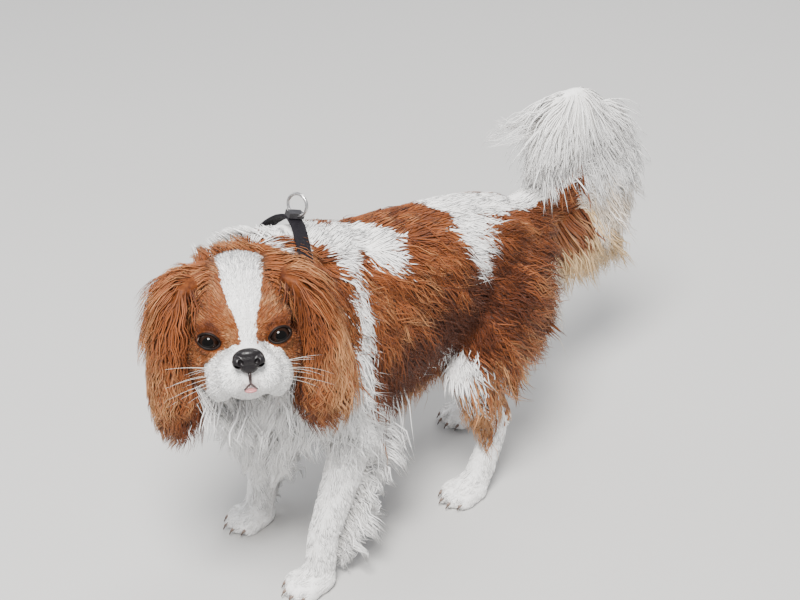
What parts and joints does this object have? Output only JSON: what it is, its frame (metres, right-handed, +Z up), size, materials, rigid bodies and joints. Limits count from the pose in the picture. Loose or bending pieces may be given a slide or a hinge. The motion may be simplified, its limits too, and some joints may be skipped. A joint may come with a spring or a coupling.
{
  "type": "cavalier king charles spaniel",
  "caption": "standing life-size Cavalier King Charles spaniel model, chestnut and white, head turned to its left, tail carried up, with a collar",
  "frame": {"origin": "on the floor under the middle of the whole model's bounding box", "axes": "+Z up; the body runs along Y with the chest towards -Y and the tail towards +Y; the dog's left side is towards +X"},
  "size_m": [0.2058, 0.6052, 0.3809],
  "materials": {
    "coat": "long silky dog hair, white with chestnut markings",
    "eye": "wet glossy dark brown eye",
    "nose": "moist pebbled black nose leather",
    "tongue": "moist pink skin",
    "strap": "black woven webbing",
    "buckle": "moulded black plastic slider",
    "ring": "polished steel wire"
  },
  "bodies": {
    "root": {"head": "coat", "neck": "coat", "torso": "coat", "tail": "coat", "tail_plume": "coat", "ear_left": "coat", "ear_right": "coat", "leg_front_left": "coat", "leg_front_right": "coat", "leg_hind_left": "coat", "leg_hind_right": "coat", "eye_left": "eye", "eye_right": "eye", "nose": "nose", "tongue": "tongue", "collar": "strap", "collar_keeper": "strap", "collar_slider": "buckle", "collar_ring": "ring"}
  },
  "joints": []
}
